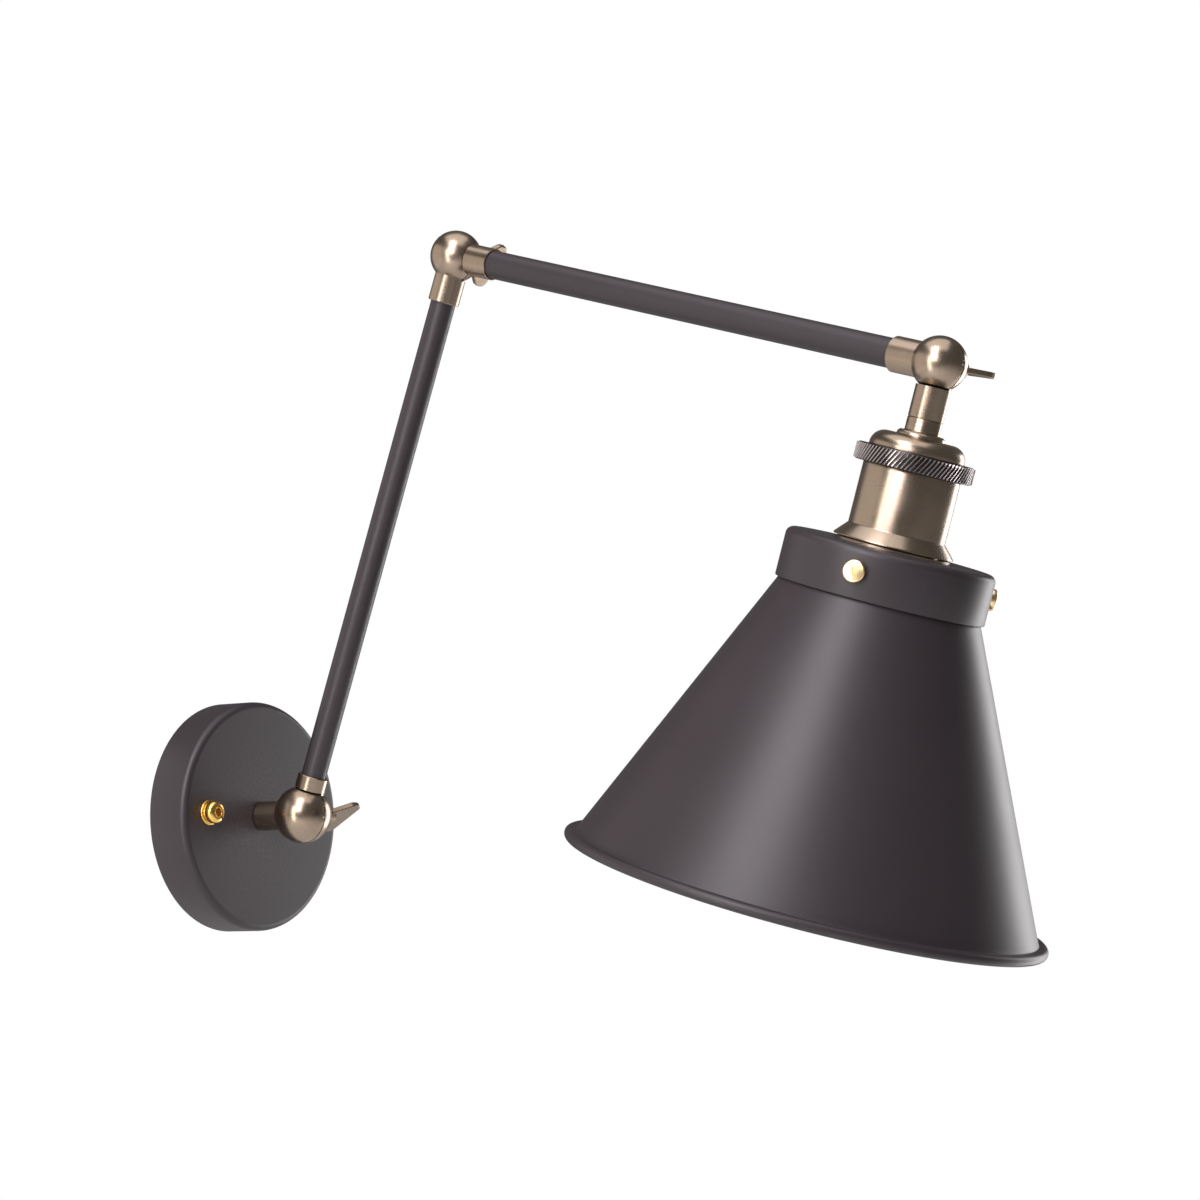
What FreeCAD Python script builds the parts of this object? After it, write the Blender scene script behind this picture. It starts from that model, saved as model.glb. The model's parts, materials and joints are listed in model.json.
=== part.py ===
import FreeCAD, Part
import math
import os

# Swing arm wall sconce, millimetres. The wall is the plane y = 0, the room is at -Y, +Z is up.
# The origin is the centre of the wall bracket's back face. Every pivot axis is parallel to X.

# canopy and what it hides
canopy_radius = 50.0
canopy_depth = 20.0
canopy_edge_radius = 3.2
canopy_wall = 1.2
bracket_thickness = 2.5
bracket_half_length = 44.0
bracket_half_width = 10.0
bracket_tab_half_width = 12.0
bracket_tab_reach = 36.0
bracket_wire_hole_radius = 7.0
stud_spacing = 70.0
stud_radius = 2.0
stud_start = 0.2
stud_reach = 22.6
stud_hole_radius = 2.3
hex_nut_height = 3.0
hex_nut_flats = 7.0
wall_slot_spacing = 44.0
wall_slot_length = 12.0
wall_slot_width = 4.5
canopy_nut_radius = 5.5
canopy_nut_flange_height = 1.4
canopy_nut_groove_radius = 4.3
canopy_nut_groove_height = 0.9
canopy_nut_dome_radius = 4.9
canopy_nut_crown = 2.2
canopy_nut_height = 6.2
canopy_nut_mouth_radius = 1.8
canopy_nut_slot_width = 1.0
canopy_nut_slot_depth = 1.4

# swivelling stem
stem_radius = 6.4
stem_length = 23.5
stem_gap = 0.3
nipple_radius = 5.0
nipple_bore = 3.5
nipple_clearance = 0.06
nipple_socket_start = 15.0
nipple_reach_in = 8.5
bushing_radius = 6.3
bushing_flange_radius = 9.0
bushing_flange_height = 1.5
stem_washer_height = 1.3
stem_washer_radius = 8.5
stem_washer_gap = 0.1
locknut_height = 3.5
locknut_flats = 14.0

# knuckles
base_ball_radius = 12.5
arm_ball_radius = 11.0
front_face = -0.2
rear_face = 0.4
washer_overhang = 0.55
ball_gap = 0.7
boss_reach = 1.5
boss_tip_radius = 3.9
boss_root_share = 0.72
boss_root_inset = 0.05
clamp_stud_radius = 2.0
clamp_stud_depth = 7.5
clamp_hole_radius = 2.15
wing_bore_radius = 2.06
wing_gap = 0.3
wireway_start = 4.0
wire_groove_inner = 3.4
wire_groove_outer = 8.4
wire_groove_depth = 4.0
washer_inner = 8.7
washer_edge = 0.8
tube_inset = 1.6
ferrule_chamfer = 0.3
mouth_gap = 0.35
mouth_depth = 1.5

# arms
lower_length = 250.0
upper_length = 250.0
lower_lean = 19.5
upper_slope = 16.8
head_lean = 17.4
lower_tube_radius = 5.4
upper_tube_radius = 6.0
tube_wall = 1.0
lower_ferrule_radius = 6.7
lower_ferrule_start = 17.5
lower_ferrule_end = 20.5
upper_ferrule_radius = 6.75
upper_ferrule_start = 21.5
head_ferrule_radius = 7.2
head_ferrule_end = 21.0
lead_radius = 1.8
lead_gap = 0.3

# wing nuts: a flat paddle on a short hub
wing_hub_radius = 3.8
wing_hub_height = 4.2
wing_hub_chamfer = 0.8
wing_bore_depth = 3.2
paddle_start = 1.0
paddle_root_half_width = 4.2
paddle_shoulder = 8.6
paddle_half_width = 10.5
paddle_reach = 16.0
paddle_corner_radius = 2.8
paddle_thickness = 2.4
paddle_edge_radius = 0.5
base_wing_turn = 30.0
elbow_wing_turn = 48.0
head_wing_turn = -13.0

# lampholder, measured along the head axis from the head pivot
neck_radius = 7.0
neck_end = 22.3
cap_neck_end = 27.5
cap_step_radius = 9.6
cap_step_slope = 0.3
cap_step_edge = 1.0
cap_step_wall = 0.4
cap_shoulder = 29.5
holder_radius = 19.0
dome_radius = 6.0
holder_wall = 1.2
ring_start = 36.0
ring_height = 7.0
ring_radius = 23.6
ring_chamfer = 0.7
sleeve_radius = 17.4
shell_radius = 19.3
shell_wall = 1.1
flare_start = 67.5
flare_end = 72.4
flare_radius = 23.85
flare_edge = 0.5
flare_inside_start = 66.5
shell_start = 36.5
spout_radius = 18.2
spout_end = 90.0
insulator_radius = 16.5
insulator_gap = 0.1
insulator_start = 44.5
insulator_floor = 56.0
insulator_end = 86.0
socket_bore = 13.1
screw_shell_wall = 0.6
screw_shell_end = 84.0
contact_radius = 4.0
contact_thickness = 0.5
contact_post_radius = 1.5
contact_screw_offset = 9.0
contact_screw_radius = 1.5
contact_screw_head_radius = 3.0
contact_screw_head_height = 2.5
contact_screw_length = 5.0
head_lead_gap = 1.0
wire_hole_offset = 8.0
wire_hole_radius = 2.2

# gallery and shade, measured along the head axis from the head pivot
seat_ring_start = 73.5
seat_ring_radius = 22.9
gallery_start = 74.4
gallery_end = 94.3
gallery_radius = 41.8
gallery_edge_radius = 3.0
gallery_wall = 1.2
clamp_ring_radius = 25.0
clamp_ring_height = 3.4
shade_wall = 0.8
shade_neck_radius = 40.0
shade_neck_start = 79.0
shade_cone_start_radius = 40.4
shade_rim_radius = 92.2
shade_rim = 208.2
bead_centre_radius = 95.0
bead_centre = 211.4
bead_radius = 2.1
screw_count = 3
screw_turn = 43.5
screw_at = 84.0
screw_radius = 1.5
screw_clearance = 0.05
screw_tip_gap = 0.15
screw_head_radius = 4.4
screw_head_height = 2.6
screw_head_edge = 0.8
screw_slot_width = 0.8
screw_slot_depth = 0.5

# terminals inside the canopy
terminal_half_width = 11.0
terminal_top = -18.0
terminal_height = 12.0
terminal_depth = 10.0
terminal_spacing = 10.0
terminal_screw_radius = 1.6
terminal_screw_length = 5.0
terminal_wire_level = 3.0
terminal_screw_sink = 0.5
small_slot_half_width = 0.4
small_slot_depth = 0.8
earth_screw_place = (8.2, -13.9)
earth_screw_radius = 1.75
earth_head_radius = 2.9
earth_head_height = 2.0
earth_screw_start = 0.3
supply_bend_radius = 5.0

ORIGIN = FreeCAD.Vector(0, 0, 0)
X = FreeCAD.Vector(1, 0, 0)
Y = FreeCAD.Vector(0, 1, 0)
Z = FreeCAD.Vector(0, 0, 1)
reach = 400.0
over = 1.0
tiny = 0.01
half_turn = 180
mid_turn = 45
mid_arc = math.sqrt(0.5)


def turned(start, *steps):
    """Solid of revolution about Z. Points are (radius, height); a step of two points is an arc."""
    edges = []
    at = start
    for step in steps + (start,):
        arc = isinstance(step[0], tuple)
        end = step[1] if arc else step
        here = FreeCAD.Vector(at[0], 0, at[1])
        there = FreeCAD.Vector(end[0], 0, end[1])
        if arc:
            through = FreeCAD.Vector(step[0][0], 0, step[0][1])
            edges.append(Part.Arc(here, through, there).toShape())
        elif here.distanceToPoint(there) > 0:
            edges.append(Part.makeLine(here, there))
        at = end
    return Part.Face(Part.Wire(edges)).revolve(ORIGIN, Z, 360)


def rod(radius, low, high):
    return Part.makeCylinder(radius, high - low, FreeCAD.Vector(0, 0, low), Z)


def ring(inner, outer, low, high):
    return rod(outer, low, high).cut(rod(inner, low - over, high + over))


def hexagon(flats, bore, low, high):
    radius = flats / 2 / math.cos(math.pi / 6)
    corners = [FreeCAD.Vector(radius * math.cos(i * math.pi / 3), radius * math.sin(i * math.pi / 3), low)
               for i in range(6)]
    nut = Part.Face(Part.makePolygon(corners + corners[:1])).extrude(Z * (high - low))
    return nut.cut(rod(bore, low - over, high + over))


def block(x0, x1, y0, y1, z0, z1):
    return Part.makeBox(x1 - x0, y1 - y0, z1 - z0, FreeCAD.Vector(x0, y0, z0))


def moved(shape, x, y, z=0.0):
    copy = shape.copy()
    copy.translate(FreeCAD.Vector(x, y, z))
    return copy


def along_x(shape):
    """Lay a shape made about Z along +X."""
    copy = shape.copy()
    copy.rotate(ORIGIN, Y, 90)
    return copy


def stand(shape, pivot, lean):
    """Lean a shape made about Z towards the room by an angle in degrees, then move it to a pivot."""
    copy = shape.copy()
    copy.rotate(ORIGIN, X, lean)
    copy.translate(pivot)
    return copy


def on_wall(shape):
    """Stand a shape made about Z on the wall, with its own Y upwards."""
    return stand(shape, ORIGIN, 90)


def towards(lean, length):
    angle = math.radians(lean)
    return FreeCAD.Vector(0, -math.sin(angle), math.cos(angle)) * length


base_pivot = FreeCAD.Vector(0, -(canopy_depth + stem_length), 0)
elbow_pivot = base_pivot + towards(lower_lean, lower_length)
upper_lean = 90 + upper_slope
head_pivot = elbow_pivot + towards(upper_lean, upper_length)
head_turn = half_turn + head_lean
stem_turn = -90


def boss_height(ball_radius):
    return ball_radius + boss_reach


def knuckle_half(side, ball_radius, ferrule_radius, ferrule_end, core_radius, core_stop):
    """One half of a ball knuckle with its ferrule along +Z; side is -1 for the front, +1 for the rear."""
    face = front_face if side < 0 else rear_face
    near = block(-reach, face, -reach, reach, -reach, reach)
    if side > 0:
        near = block(face, reach, -reach, reach, -reach, reach)
    far = block(-reach, reach, -reach, reach, -reach, reach).cut(near)
    shell = Part.makeSphere(ball_radius).common(near)
    ferrule = turned((0, 0), (ferrule_radius, 0), (ferrule_radius, ferrule_end - ferrule_chamfer),
                     (ferrule_radius - ferrule_chamfer, ferrule_end), (0, ferrule_end))
    scoop = Part.makeSphere(ball_radius + ball_gap).common(far)
    half = shell.fuse(ferrule.cut(scoop))
    if side > 0:
        root = ball_radius * boss_root_share
        root_radius = math.sqrt(ball_radius ** 2 - root ** 2) - boss_root_inset
        height = boss_height(ball_radius) - root
        half = half.fuse(along_x(moved(Part.makeCone(root_radius, boss_tip_radius, height), 0, 0, root)))
        half = half.cut(along_x(rod(clamp_hole_radius, 0, reach)))
    else:
        half = half.cut(along_x(rod(clamp_stud_radius, -clamp_stud_depth, over)))
    groove = ring(wire_groove_inner, wire_groove_outer, min(face, face + side * wire_groove_depth),
                  max(face, face + side * wire_groove_depth))
    half = half.cut(along_x(groove))
    half = half.cut(rod(nipple_bore, wireway_start, ferrule_end + over))
    half = half.cut(rod(core_radius, core_stop, ferrule_end + over))
    return half.removeSplitter()


def friction_washer(ball_radius):
    return along_x(ring(washer_inner, ball_radius - washer_edge, rear_face - washer_overhang, rear_face))


def clamp_stud(ball_radius):
    return along_x(rod(clamp_stud_radius, -clamp_stud_depth, boss_height(ball_radius) + wing_bore_depth))


def tube_stop(ball_radius):
    return ball_radius + tube_inset


def paddle():
    """A plate in the XZ plane about y = 0, widening from its hub to a straight far edge."""
    far = paddle_reach - boss_reach - wing_gap
    side = [(paddle_root_half_width, paddle_start), (paddle_half_width, paddle_shoulder),
            (paddle_half_width, far)]
    outline = side + [(-x, z) for x, z in reversed(side)]
    corners = [FreeCAD.Vector(x, -paddle_thickness / 2, z) for x, z in outline]
    plate = Part.Face(Part.makePolygon(corners + corners[:1])).extrude(Y * paddle_thickness)
    across = [edge for edge in plate.Edges if edge.BoundBox.YLength > paddle_thickness - tiny]
    outer = [edge for edge in across if edge.CenterOfMass.z > paddle_shoulder - tiny]
    plate = plate.makeFillet(paddle_corner_radius, outer)
    return plate.makeFillet(paddle_edge_radius, plate.Edges)


def wing_nut(ball_radius, turn):
    hub = turned((0, 0), (wing_hub_radius, 0), (wing_hub_radius, wing_hub_height - wing_hub_chamfer),
                 (wing_hub_radius - wing_hub_chamfer, wing_hub_height), (0, wing_hub_height))
    nut = hub.fuse(paddle()).cut(rod(wing_bore_radius, -over, wing_bore_depth)).removeSplitter()
    nut = along_x(moved(nut, 0, 0, boss_height(ball_radius) + wing_gap))
    nut.rotate(ORIGIN, X, 90 - turn)
    return nut


def make_canopy():
    flat = canopy_radius - canopy_edge_radius
    bend = canopy_depth - canopy_edge_radius
    inner_bend = canopy_edge_radius - canopy_wall
    cup = turned((bushing_radius, canopy_depth), (flat, canopy_depth),
                 ((flat + canopy_edge_radius * mid_arc, bend + canopy_edge_radius * mid_arc),
                  (canopy_radius, bend)),
                 (canopy_radius, 0), (canopy_radius - canopy_wall, 0), (canopy_radius - canopy_wall, bend),
                 ((flat + inner_bend * mid_arc, bend + inner_bend * mid_arc),
                  (flat, canopy_depth - canopy_wall)),
                 (bushing_radius, canopy_depth - canopy_wall))
    for x in (-stud_spacing / 2, stud_spacing / 2):
        cup = cup.cut(moved(rod(stud_hole_radius, 0, canopy_depth + over), x, 0))
    return on_wall(cup)


def make_bracket():
    plate = block(-bracket_half_length, bracket_half_length, -bracket_half_width, bracket_half_width,
                  0, bracket_thickness)
    plate = plate.fuse(block(-bracket_tab_half_width, bracket_tab_half_width, -bracket_tab_reach, 0,
                             0, bracket_thickness))
    plate = plate.cut(rod(bracket_wire_hole_radius, -over, bracket_thickness + over))
    slot_straight = (wall_slot_length - wall_slot_width) / 2
    for side in (-1, 1):
        hole = rod(stud_radius, -over, bracket_thickness + over)
        plate = plate.cut(moved(hole, side * stud_spacing / 2, 0))
        centre = side * wall_slot_spacing / 2
        plate = plate.cut(block(centre - slot_straight, centre + slot_straight,
                                -wall_slot_width / 2, wall_slot_width / 2, -over, bracket_thickness + over))
        for end in (-slot_straight, slot_straight):
            hole = rod(wall_slot_width / 2, -over, bracket_thickness + over)
            plate = plate.cut(moved(hole, centre + end, 0))
    hole = rod(earth_screw_radius, -over, bracket_thickness + over)
    plate = plate.cut(moved(hole, earth_screw_place[0], earth_screw_place[1]))
    corners = [edge for edge in plate.Edges if is_plate_corner(edge)]
    return on_wall(plate.makeFillet(bracket_thickness, corners).removeSplitter())


def is_plate_corner(edge):
    middle = edge.CenterOfMass
    upright = edge.BoundBox.ZLength > bracket_thickness - tiny and edge.BoundBox.XLength < tiny
    outer = abs(middle.x) > bracket_half_length - tiny or middle.y < -bracket_tab_reach + tiny
    return upright and outer


def pair(shape, spacing):
    return Part.makeCompound([moved(shape, -spacing / 2, 0), moved(shape, spacing / 2, 0)])


def make_canopy_nut():
    flange = canopy_depth + canopy_nut_flange_height
    groove = flange + canopy_nut_groove_height
    top = canopy_depth + canopy_nut_height
    side = top - canopy_nut_crown
    inner = canopy_nut_dome_radius - canopy_nut_crown
    bend = canopy_nut_crown * mid_arc
    nut = turned((stud_radius, canopy_depth), (canopy_nut_radius, canopy_depth), (canopy_nut_radius, flange),
                 (canopy_nut_groove_radius, flange), (canopy_nut_groove_radius, groove),
                 (canopy_nut_dome_radius, groove), (canopy_nut_dome_radius, side),
                 ((inner + bend, side + bend), (inner, top)), (canopy_nut_mouth_radius, top),
                 (canopy_nut_mouth_radius, stud_reach), (stud_radius, stud_reach))
    slot = block(0, reach, -canopy_nut_slot_width / 2, canopy_nut_slot_width / 2,
                 top - canopy_nut_slot_depth, top + over)
    slot.rotate(ORIGIN, Z, -mid_turn)
    return nut.cut(slot)


def make_terminal_block():
    low = terminal_top - terminal_height
    body = block(-terminal_half_width, terminal_half_width, low, terminal_top,
                 bracket_thickness, bracket_thickness + terminal_depth)
    level = bracket_thickness + terminal_wire_level
    for x in (-terminal_spacing / 2, terminal_spacing / 2):
        hole = rod(terminal_screw_radius, bracket_thickness + terminal_depth - terminal_screw_length, reach)
        body = body.cut(moved(hole, x, terminal_top - terminal_height / 2))
    mouth = FreeCAD.Vector(0, terminal_top, level)
    entry = Part.makeCylinder(lead_radius, terminal_height / 3, mouth, Y * -1)
    return on_wall(body.cut(entry))


def make_terminal_screws():
    top = bracket_thickness + terminal_depth
    face = top - terminal_screw_sink
    screw = rod(terminal_screw_radius, top - terminal_screw_length, face)
    screw = screw.cut(block(-reach, reach, -small_slot_half_width, small_slot_half_width,
                            face - small_slot_depth, top))
    return on_wall(pair(moved(screw, 0, terminal_top - terminal_height / 2), terminal_spacing))


def make_earth_screw():
    top = bracket_thickness + earth_head_height
    head = rod(earth_head_radius, bracket_thickness, top)
    head = head.cut(block(-reach, reach, -small_slot_half_width, small_slot_half_width,
                          top - small_slot_depth, reach))
    screw = head.fuse(rod(earth_screw_radius, earth_screw_start, bracket_thickness))
    return on_wall(moved(screw, earth_screw_place[0], earth_screw_place[1]))


def make_supply_lead():
    """From inside the nipple, out of its end and round a bend down into the terminal block."""
    start = canopy_depth - nipple_reach_in + lead_gap
    level = bracket_thickness + terminal_wire_level
    radius = supply_bend_radius
    mid = radius * (1 - mid_arc)
    points = [FreeCAD.Vector(0, 0, start), FreeCAD.Vector(0, 0, level + radius),
              FreeCAD.Vector(0, -mid, level + mid), FreeCAD.Vector(0, -radius, level),
              FreeCAD.Vector(0, terminal_top, level)]
    path = Part.Wire([Part.makeLine(points[0], points[1]),
                      Part.Arc(points[1], points[2], points[3]).toShape(),
                      Part.makeLine(points[3], points[4])])
    section = Part.Wire([Part.makeCircle(lead_radius, points[0], Z)])
    return on_wall(path.makePipeShell([section], True, False))


def make_stem_lead():
    start = canopy_depth - nipple_reach_in + 2 * lead_gap
    end = canopy_depth + stem_length - base_ball_radius - ball_gap - lead_gap
    return on_wall(rod(lead_radius, start, end))


def make_holder_cap():
    centre = holder_radius - dome_radius
    level = cap_shoulder + dome_radius
    inner = dome_radius - holder_wall
    return turned((nipple_radius, neck_end), (neck_radius, neck_end), (neck_radius, cap_neck_end),
                  (cap_step_radius - cap_step_edge, cap_neck_end + cap_step_slope),
                  (cap_step_radius, cap_shoulder - cap_step_wall),
                  (cap_step_radius, cap_shoulder), (centre, cap_shoulder),
                  ((centre + dome_radius * mid_arc, level - dome_radius * mid_arc), (holder_radius, level)),
                  (holder_radius, ring_start), (holder_radius - holder_wall, ring_start),
                  (holder_radius - holder_wall, level),
                  ((centre + inner * mid_arc, level - inner * mid_arc), (centre, level - inner)),
                  (nipple_radius, level - inner))


def make_holder_ring():
    end = ring_start + ring_height
    return turned((sleeve_radius, ring_start), (ring_radius - ring_chamfer, ring_start),
                  (ring_radius, ring_start + ring_chamfer), (ring_radius, end - ring_chamfer),
                  (ring_radius - ring_chamfer, end), (sleeve_radius, end))


def make_holder_shell():
    step = ring_start + ring_height
    bore = insulator_radius + insulator_gap
    hollow = shell_radius - shell_wall
    return turned((bore, shell_start), (sleeve_radius, shell_start), (sleeve_radius, step),
                  (shell_radius, step), (shell_radius, flare_start),
                  (flare_radius, flare_end), (flare_radius, flare_end + flare_edge),
                  (spout_radius, flare_end + flare_edge), (spout_radius, spout_end), (bore, spout_end),
                  (bore, flare_end), (hollow, flare_inside_start), (hollow, step + shell_wall),
                  (bore, step))


def make_insulator():
    bore = socket_bore + screw_shell_wall
    core = turned((contact_post_radius, insulator_start), (insulator_radius, insulator_start),
                  (insulator_radius, insulator_end), (bore, insulator_end), (bore, insulator_floor),
                  (contact_post_radius, insulator_floor))
    for side in (-1, 1):
        core = core.cut(moved(rod(wire_hole_radius, 0, insulator_end), side * wire_hole_offset, 0))
        screw_hole = rod(contact_screw_radius, 0, insulator_start + contact_screw_length)
        core = core.cut(moved(screw_hole, 0, side * contact_screw_offset))
    return core


def make_screw_shell():
    outer = socket_bore + screw_shell_wall
    floor = insulator_floor + screw_shell_wall
    lip = wire_hole_offset + wire_hole_radius
    return turned((lip, insulator_floor), (outer, insulator_floor), (outer, screw_shell_end),
                  (socket_bore, screw_shell_end), (socket_bore, floor), (lip, floor))


def make_centre_contact():
    post = rod(contact_post_radius, insulator_start, insulator_floor)
    return post.fuse(rod(contact_radius, insulator_floor, insulator_floor + contact_thickness))


def make_contact_screws():
    screw = rod(contact_screw_radius, insulator_start, insulator_start + contact_screw_length)
    screw = screw.fuse(rod(contact_screw_head_radius, insulator_start - contact_screw_head_height,
                           insulator_start))
    return Part.makeCompound([moved(screw, 0, -contact_screw_offset), moved(screw, 0, contact_screw_offset)])


def screw_angles():
    return [screw_turn + i * 360 / screw_count for i in range(screw_count)]


def radial(shape, angle):
    """Lay a shape made about Z outwards from the head axis, at the level of the shade screws."""
    copy = along_x(shape)
    copy.rotate(ORIGIN, Z, angle)
    return moved(copy, 0, 0, screw_at)


def make_gallery():
    inner = gallery_radius - gallery_wall
    edge = gallery_edge_radius
    inside = edge - gallery_wall
    flat = gallery_radius - edge
    cup = turned((spout_radius, gallery_start), (flat, gallery_start),
                 ((flat + edge * mid_arc, gallery_start + edge - edge * mid_arc),
                  (gallery_radius, gallery_start + edge)),
                 (gallery_radius, gallery_end), (inner, gallery_end), (inner, gallery_start + edge),
                 ((flat + inside * mid_arc, gallery_start + edge - inside * mid_arc),
                  (flat, gallery_start + gallery_wall)),
                 (spout_radius, gallery_start + gallery_wall))
    for angle in screw_angles():
        cup = cup.cut(radial(rod(screw_radius + screw_clearance, shade_neck_radius, reach), angle))
    return cup


def make_shade():
    neck = shade_neck_radius - shade_wall
    slope = math.atan2(shade_rim_radius - shade_cone_start_radius, shade_rim - gallery_end)
    skin = shade_wall / math.cos(slope)
    lip = bead_centre - bead_radius / 2
    body = turned((neck, shade_neck_start), (shade_neck_radius, shade_neck_start),
                  (shade_neck_radius, gallery_end - shade_wall), (shade_cone_start_radius, gallery_end),
                  (shade_rim_radius, shade_rim), (bead_centre_radius, lip),
                  (bead_centre_radius - shade_wall, lip + shade_wall),
                  (shade_rim_radius - skin, shade_rim + shade_wall / 2),
                  (shade_cone_start_radius - skin, gallery_end + shade_wall / 2),
                  (neck, gallery_end - shade_wall))
    bead = Part.makeTorus(bead_centre_radius, bead_radius)
    return body.fuse(moved(bead, 0, 0, bead_centre)).removeSplitter()


def make_shade_screw(angle):
    tip = shade_neck_radius + screw_tip_gap
    seat = gallery_radius + stem_gap
    top = seat + screw_head_height
    screw = turned((0, tip), (screw_radius, tip), (screw_radius, seat), (screw_head_radius, seat),
                   (screw_head_radius, top - screw_head_edge),
                   (screw_head_radius - screw_head_edge, top), (0, top))
    screw = screw.cut(block(-reach, reach, -screw_slot_width / 2, screw_slot_width / 2,
                            top - screw_slot_depth, top + over))
    return radial(screw, angle)


def on_base(shape, lean):
    return stand(shape, base_pivot, lean)


def on_elbow(shape, lean):
    return stand(shape, elbow_pivot, lean)


def on_head(shape, lean=head_turn):
    return stand(shape, head_pivot, lean)


def wall_parts():
    top = bracket_thickness + hex_nut_height
    inside = canopy_depth - canopy_wall
    flange = ring(nipple_radius + nipple_clearance, bushing_flange_radius,
                  inside - bushing_flange_height, inside)
    sleeve = ring(nipple_radius + nipple_clearance, bushing_radius, inside, canopy_depth)
    hex_nut = hexagon(hex_nut_flats, stud_radius, bracket_thickness, top)
    return {
        "canopy": make_canopy(),
        "mounting_bracket": make_bracket(),
        "canopy_studs": on_wall(pair(rod(stud_radius, stud_start, stud_reach), stud_spacing)),
        "stud_hex_nuts": on_wall(pair(hex_nut, stud_spacing)),
        "canopy_nuts": on_wall(pair(make_canopy_nut(), stud_spacing)),
        "stem_bushing": on_wall(flange.fuse(sleeve).removeSplitter()),
        "terminal_block": make_terminal_block(),
        "terminal_screws": make_terminal_screws(),
        "earth_screw": make_earth_screw(),
        "supply_lead": make_supply_lead(),
    }


def stem_parts():
    washer_top = canopy_depth - canopy_wall - bushing_flange_height - stem_washer_gap
    nut_top = washer_top - stem_washer_height
    base_half = knuckle_half(-1, base_ball_radius, stem_radius, stem_length - stem_gap,
                             nipple_radius, nipple_socket_start)
    return {
        "stem_knuckle": on_base(base_half, stem_turn),
        "stem_nipple": on_wall(ring(nipple_bore, nipple_radius, canopy_depth - nipple_reach_in,
                                    canopy_depth + stem_length - nipple_socket_start)),
        "stem_washer": on_wall(ring(nipple_radius, stem_washer_radius, nut_top, washer_top)),
        "stem_locknut": on_wall(hexagon(locknut_flats, nipple_radius, nut_top - locknut_height, nut_top)),
        "base_clamp_stud": on_base(clamp_stud(base_ball_radius), 0),
        "stem_lead": make_stem_lead(),
    }


def with_mouth(half, tube_radius, ferrule_end):
    """Open a narrow gap round the tube where it enters the ferrule."""
    recess = ring(tube_radius, tube_radius + mouth_gap, ferrule_end - mouth_depth, ferrule_end + over)
    return half.cut(recess)


def arm_tube(radius, length, start_ball, end_ball):
    return ring(radius - tube_wall, radius, tube_stop(start_ball), length - tube_stop(end_ball))


def arm_lead(length, start_ball, end_ball):
    gap = ball_gap + lead_gap
    return rod(lead_radius, start_ball + gap, length - end_ball - gap)


def lower_arm_parts():
    start = knuckle_half(1, base_ball_radius, lower_ferrule_radius, lower_ferrule_start,
                         lower_tube_radius, tube_stop(base_ball_radius))
    end = knuckle_half(-1, arm_ball_radius, lower_ferrule_radius, lower_ferrule_end,
                       lower_tube_radius, tube_stop(arm_ball_radius))
    start = with_mouth(start, lower_tube_radius, lower_ferrule_start)
    end = with_mouth(end, lower_tube_radius, lower_ferrule_end)
    tube = arm_tube(lower_tube_radius, lower_length, base_ball_radius, arm_ball_radius)
    return {
        "lower_arm_base_knuckle": on_base(start, lower_lean),
        "base_friction_washer": on_base(friction_washer(base_ball_radius), 0),
        "lower_arm_tube": on_base(tube, lower_lean),
        "lower_arm_elbow_knuckle": on_elbow(end, lower_lean + half_turn),
        "elbow_clamp_stud": on_elbow(clamp_stud(arm_ball_radius), 0),
        "lower_arm_lead": on_base(arm_lead(lower_length, base_ball_radius, arm_ball_radius), lower_lean),
    }


def upper_arm_parts():
    start = knuckle_half(1, arm_ball_radius, upper_ferrule_radius, upper_ferrule_start,
                         upper_tube_radius, tube_stop(arm_ball_radius))
    end = knuckle_half(-1, arm_ball_radius, head_ferrule_radius, head_ferrule_end,
                       upper_tube_radius, tube_stop(arm_ball_radius))
    start = with_mouth(start, upper_tube_radius, upper_ferrule_start)
    end = with_mouth(end, upper_tube_radius, head_ferrule_end)
    tube = arm_tube(upper_tube_radius, upper_length, arm_ball_radius, arm_ball_radius)
    return {
        "upper_arm_elbow_knuckle": on_elbow(start, upper_lean),
        "elbow_friction_washer": on_elbow(friction_washer(arm_ball_radius), 0),
        "upper_arm_tube": on_elbow(tube, upper_lean),
        "upper_arm_head_knuckle": on_head(end, upper_lean + half_turn),
        "head_clamp_stud": on_head(clamp_stud(arm_ball_radius), 0),
        "upper_arm_lead": on_elbow(arm_lead(upper_length, arm_ball_radius, arm_ball_radius), upper_lean),
    }


def head_parts():
    half = knuckle_half(1, arm_ball_radius, neck_radius, neck_end, nipple_radius, nipple_socket_start)
    cap_floor = cap_shoulder + holder_wall
    nipple_end = cap_floor + locknut_height
    lead_end = insulator_start - contact_screw_head_height - head_lead_gap
    ring_top = gallery_start + gallery_wall
    ring_end = ring_top + clamp_ring_height
    return {
        "head_knuckle": on_head(half),
        "head_friction_washer": on_head(friction_washer(arm_ball_radius), 0),
        "holder_nipple": on_head(ring(nipple_bore, nipple_radius, nipple_socket_start, nipple_end)),
        "holder_locknut": on_head(hexagon(locknut_flats, nipple_radius, cap_floor, nipple_end)),
        "holder_cap": on_head(make_holder_cap()),
        "holder_ring": on_head(make_holder_ring()),
        "holder_shell": on_head(make_holder_shell()),
        "holder_insulator": on_head(make_insulator()),
        "screw_shell": on_head(make_screw_shell()),
        "centre_contact": on_head(make_centre_contact()),
        "contact_screws": on_head(make_contact_screws()),
        "gallery_seat_ring": on_head(ring(spout_radius, seat_ring_radius, seat_ring_start, gallery_start)),
        "shade_gallery": on_head(make_gallery()),
        "gallery_clamp_ring": on_head(ring(spout_radius, clamp_ring_radius, ring_top, ring_end)),
        "shade": on_head(make_shade()),
        "head_lead": on_head(rod(lead_radius, arm_ball_radius + ball_gap + lead_gap, lead_end)),
    }


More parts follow.
